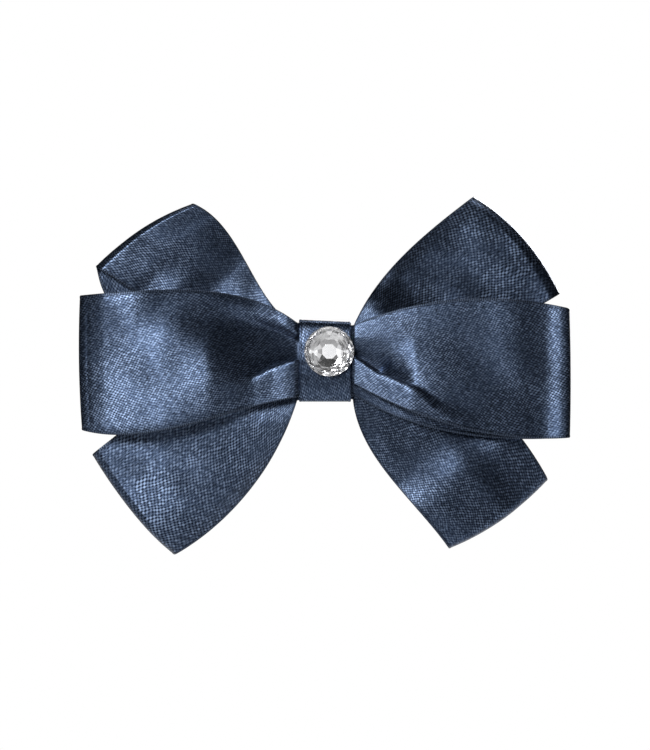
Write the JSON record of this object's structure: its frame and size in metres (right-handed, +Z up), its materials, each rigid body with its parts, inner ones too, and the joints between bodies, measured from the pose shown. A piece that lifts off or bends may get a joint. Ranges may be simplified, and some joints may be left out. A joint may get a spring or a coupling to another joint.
{
  "type": "cheer hair bow",
  "caption": "Satin ribbon hair bow with crossed rear loops, a wide front loop, a faceted crystal on its centre band and a hinged hair clip behind.",
  "frame": {"origin": "middle of the hair that the barrette grips, between its base plate and its clasp arm", "axes": "+Z up as worn, -Y the way the bow faces, +X to the right seen from the front, along the front loops"},
  "size_m": [0.0954, 0.0219, 0.0688],
  "materials": {
    "satin": "slate navy satin weave, soft sheen along the warp",
    "thread": "twisted polyester thread",
    "crystal": "cut and polished",
    "foil": "silvered",
    "clear_glue": "cured gem adhesive",
    "hot_melt": "hot-melt glue",
    "steel": "nickel plated, stamped",
    "spring_steel": "nickel plated spring steel"
  },
  "bodies": {
    "bow": {"front_ribbon": "satin", "rear_ribbon_rising": "satin", "rear_ribbon_falling": "satin", "centre_band": "satin", "gather_thread": "thread", "crystal": "crystal", "crystal_foil": "foil", "crystal_glue": "clear_glue", "mounting_glue": "hot_melt", "barrette_base": "steel", "hinge_pin": "steel", "latch_saddle": "spring_steel", "latch_rivet": "steel"},
    "clasp": {"clasp_arm": "steel"},
    "tension_bar": {"tension_bar": "spring_steel"},
    "upper_prong": {"latch_prong_upper": "spring_steel"},
    "lower_prong": {"latch_prong_lower": "spring_steel"}
  },
  "joints": [
    {"name": "clasp_open", "type": "hinge", "parent": "bow", "child": "clasp", "pos_m": [-0.029, 0, 0], "axis": [0, 0, 1], "range_deg": [0, 75]},
    {"name": "tension_bar_press", "type": "hinge", "parent": "clasp", "child": "tension_bar", "pos_m": [-0.029, 0, 0], "axis": [0, 0, 1], "range_deg": [-4, 0.4], "stiffness_Nm_per_rad": 0.06},
    {"name": "upper_prong_squeeze", "type": "hinge", "parent": "bow", "child": "upper_prong", "pos_m": [0.027, -0.0037, 0.0021], "axis": [-1, 0, 0], "range_deg": [0, 6], "stiffness_Nm_per_rad": 0.15},
    {"name": "lower_prong_squeeze", "type": "hinge", "parent": "bow", "child": "lower_prong", "pos_m": [0.027, -0.0037, -0.0021], "axis": [1, 0, 0], "range_deg": [0, 6], "stiffness_Nm_per_rad": 0.15}
  ],
  "couplings": [
    {"joint": "lower_prong_squeeze", "follows": "upper_prong_squeeze", "ratio": 1}
  ]
}
